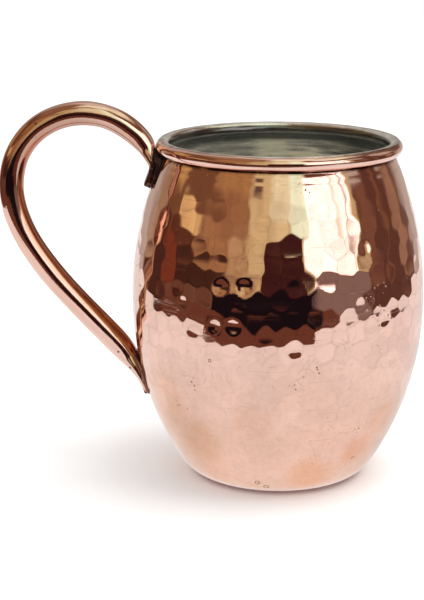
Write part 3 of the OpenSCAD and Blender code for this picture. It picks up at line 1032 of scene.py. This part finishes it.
# What the copper mirrors round the studio: name, azimuth range and elevation range in degrees as seen from
# the mug, with 0 towards the camera and positive to its right, softness of the edges in degrees, and colour
PANELS = (
    ("brown wall", -128, -28, 8, 46, 5, (0.18, 0.085, 0.043)),
    ("tan wall", -70, -28, 5, 19, 3, (0.39, 0.22, 0.105)),
    ("tan wall, high", -68, -28, 26, 46, 3, (0.43, 0.25, 0.102)),
    ("pale door", -134, -121, -4, 16, 2, (0.38, 0.27, 0.17)),
    ("tan wall, middle", -54, -28, 17, 28, 3, (0.33, 0.178, 0.085)),
    ("gold wall", -126, -102, 15, 36, 3, (0.58, 0.38, 0.15)),
    ("lit wall", -29, 24, 1, 50, 4, (0.70, 0.62, 0.33)),
    ("lit wall, low", -42, -24, 0, 16, 4, (0.50, 0.36, 0.19)),
    ("bright wall", -9, 24, 22, 57, 5, (0.92, 0.98, 0.66)),
    ("bright wall, right", 9, 24, 15, 62, 4, (1.0, 1.35, 1.05)),
    ("curtain", 70, 134, -16, 38, 4, (0.11, 0.05, 0.037)),
    ("curtain fold", 73, 86, -2, 24, 3, (0.21, 0.10, 0.065)),
    ("curtain fold", 97, 101, -6, 30, 2, (0.20, 0.10, 0.06)),
    ("curtain fold", 112, 126, -6, 16, 4, (0.33, 0.205, 0.135)),
    ("pale wall", 108, 134, 17, 42, 3, (0.54, 0.48, 0.42)),
    ("window end", 70, 86, 25, 40, 3, (0.55, 0.50, 0.45)),
    ("window", 22, 70, 3, 37, 1.2, (2.1, 1.95, 1.95)),
    ("window bar", 50, 52, 8, 38, 1.5, (1.2, 1.15, 0.95)),
    ("window bar", 60, 62, 4, 38, 1.2, (0.62, 0.58, 0.50)),
    ("window post", 67, 71, 2, 38, 1.5, (0.62, 0.52, 0.26)),
    ("sill", 16, 71, -12, 2, 2, (0.23, 0.165, 0.145)),
    ("table edge", -134, 44, -30, -9, 2, (0.14, 0.052, 0.032)),
    ("table edge, left", -134, -106, -14, -5, 1.5, (0.085, 0.030, 0.019)),
    ("black flag", -13, 19, -7, 17, 1.5, (0.045, 0.012, 0.013)),
    ("dark gap", -52, 29, -12.5, -1.5, 1.5, (0.010, 0.006, 0.009)),
    ("wood", -108, -88, -5, 7, 2, (0.18, 0.045, 0.022)),
    ("shelf", -90, -50, -4, 6, 1.5, (0.055, 0.022, 0.014)),
    ("shelf, upper", -101, -73, 6, 10, 1.5, (0.10, 0.034, 0.018)),
    ("brass lamp", -97, -71, 11, 17, 1.5, (0.80, 0.60, 0.27)),
    ("skylight", -28, 55, 66, 100, 4, (1.1, 1.2, 0.95)),
    ("skylight, right", 45, 140, 52, 100, 5, (1.0, 1.1, 0.88)),
    ("vent", -26, -18, 30, 36, 2, (0.14, 0.09, 0.07)),
    ("white backdrop", 134, 226, -60, 100, 8, (0.50, 0.46, 0.42)),
    ("skylight, behind", 150, 212, 56, 100, 5, (0.85, 0.83, 0.77)),
    ("dark corner", 136, 158, 8, 48, 4, (0.17, 0.09, 0.065)),
    ("dark post", -120, -106, -9, 9, 2, (0.065, 0.028, 0.022)),
)


ROOM_DARK, ROOM_BROWN = (0.12, 0.052, 0.033, 1), (0.19, 0.095, 0.058, 1)
CEILING, CEILING_BEHIND = (0.34, 0.205, 0.12, 1), (0.50, 0.48, 0.45, 1)
ROOM_SHADE = (0.12, 0.055, 0.03, 1)
STUDIO_LIGHT = 1.03
LAMP_AT, LAMP_SIZE, LAMP_WATTS = (0.38, -0.04, 0.84), (0.8, 0.7), 4.6
LAMP_AIM, LAMP_COLOUR = (0, 0, 0.05), (1.0, 0.985, 0.96)
CAMERA_AT, CAMERA_DOWN, CAMERA_LENS = (-0.020288, -0.5, 0.18081), 14.218, 99.87


def panel_mask(n, turn, rise, a0, a1, e0, e1, soft):
    """1 inside a panel of the mirrored room, with soft edges."""
    off = n.size(n.math("WRAP", n.minus(turn, (a0 + a1) / 2), -180.0, 180.0))
    inside = n.ramp(off, (a1 - a0) / 2 + soft, (a1 - a0) / 2 - soft)
    inside = n.times(inside, n.ramp(rise, e0 - soft, e0 + soft))
    return n.times(inside, n.ramp(rise, e1 + soft, e1 - soft))


def mirrored_room(n):
    """Colour of the room in each direction: brown walls, a ceiling, the panels, and soft shade."""
    way = n.tree.nodes.new("ShaderNodeTexCoord").outputs["Generated"]
    x, y, z = n.new("ShaderNodeSeparateXYZ", Vector=way).outputs
    turn = n.times(n.math("ARCTAN2", x, n.times(y, -1.0)), 180 / math.pi)
    rise = n.times(n.math("ARCSINE", z), 180 / math.pi)
    mottle = n.noise(n.stretched(way, 1.0, 1.0, 0.45), 3.2, 3)
    room = n.mix(n.ramp(mottle, 0.35, 0.7), ROOM_DARK, ROOM_BROWN)
    behind = n.most(n.ramp(turn, 142, 170), n.ramp(turn, -115, -155))
    room = n.mix(n.ramp(rise, 44, 56), room, n.mix(behind, CEILING, CEILING_BEHIND))
    for _, a0, a1, e0, e1, soft, colour in PANELS:
        room = n.mix(panel_mask(n, turn, rise, a0, a1, e0, e1, soft), room, (*colour, 1))
    shade = n.ramp(n.noise(n.stretched(way, 1.0, 1.0, 1.3), 7.0, 3, 0.6), 0.3, 0.7, 0.0, 0.3)
    return n.mix(n.times(shade, n.ramp(rise, 0, 6)), room, ROOM_SHADE)


def world():
    """White to the camera and soft white light on the scene; the copper mirrors a warm room with windows."""
    made = bpy.data.worlds.new("studio")
    bpy.context.scene.world = made
    made.use_nodes = True
    tree = made.node_tree
    tree.nodes.clear()
    n = Nodes(tree)
    path = tree.nodes.new("ShaderNodeLightPath")
    lit = n.new("ShaderNodeBackground", Color=(1, 1, 1, 1), Strength=STUDIO_LIGHT)
    seen = n.new("ShaderNodeBackground", Color=(1, 1, 1, 1), Strength=1.0)
    mirrored = n.new("ShaderNodeBackground", Color=mirrored_room(n), Strength=1.0)
    shown = lit.outputs[0]
    for ray, light in (("Is Glossy Ray", mirrored), ("Is Camera Ray", seen)):
        mixed = tree.nodes.new("ShaderNodeMixShader")
        n.set(mixed, 0, path.outputs[ray])
        n.set(mixed, 1, shown)
        n.set(mixed, 2, light.outputs[0])
        shown = mixed.outputs[0]
    n.set(tree.nodes.new("ShaderNodeOutputWorld"), 0, shown)


def lights():
    """Large soft light from above and the right, which the copper doesn't mirror."""
    data = bpy.data.lights.new("soft_light", "AREA")
    data.shape = "RECTANGLE"
    data.size, data.size_y = LAMP_SIZE
    data.energy = LAMP_WATTS
    data.color = LAMP_COLOUR
    lamp = bpy.data.objects.new("soft_light", data)
    lamp.location = LAMP_AT
    lamp.rotation_euler = (Vector(LAMP_AIM) - lamp.location).to_track_quat("-Z", "Y").to_euler()
    lamp.visible_glossy = False
    lamp.visible_camera = False
    bpy.context.scene.collection.objects.link(lamp)


def camera():
    data = bpy.data.cameras.new("camera")
    data.sensor_width, data.lens = 36.0, CAMERA_LENS
    data.clip_start, data.clip_end = 0.01, 50
    cam = bpy.data.objects.new("camera", data)
    cam.location = CAMERA_AT
    cam.rotation_euler = (math.radians(90 - CAMERA_DOWN), 0, 0)
    bpy.context.scene.collection.objects.link(cam)
    bpy.context.scene.camera = cam


# ---------------------------------------------------------------- assembly
def place(piece, mat, node, slot):
    """Puts a piece in the place of its CAD node, with its material."""
    piece.data.materials.append(mat)
    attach(piece, "root")
    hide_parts(node)


def mug():
    joint_metal = braze_material()
    place(body(), body_material(), "body", "copper_sheet")
    place(tin_lining(), tin_material(), "tin_lining", "tin")
    place(handle(), handle_material(), "handle", "copper_tube")
    upper_end = UPPER_JOINT + DRAWN_UP
    upper = braze("upper_braze_fillet", 0, upper_end, upper_end, -1, 3)
    place(upper, joint_metal, "upper_braze", "braze_metal")
    lower_end = ROUTE_END - LOWER_JOINT
    lower = braze("lower_braze_fillet", lower_end, ROUTE_END, lower_end, 1, 4)
    place(lower, joint_metal, "lower_braze", "braze_metal")
    wire = frame["nodes"]["rim_wire"]
    wire.data.materials.clear()
    wire.data.materials.append(wire_material())


camera()
stage()
world()
lights()
mug()
bpy.context.scene.view_settings.view_transform = "Standard"
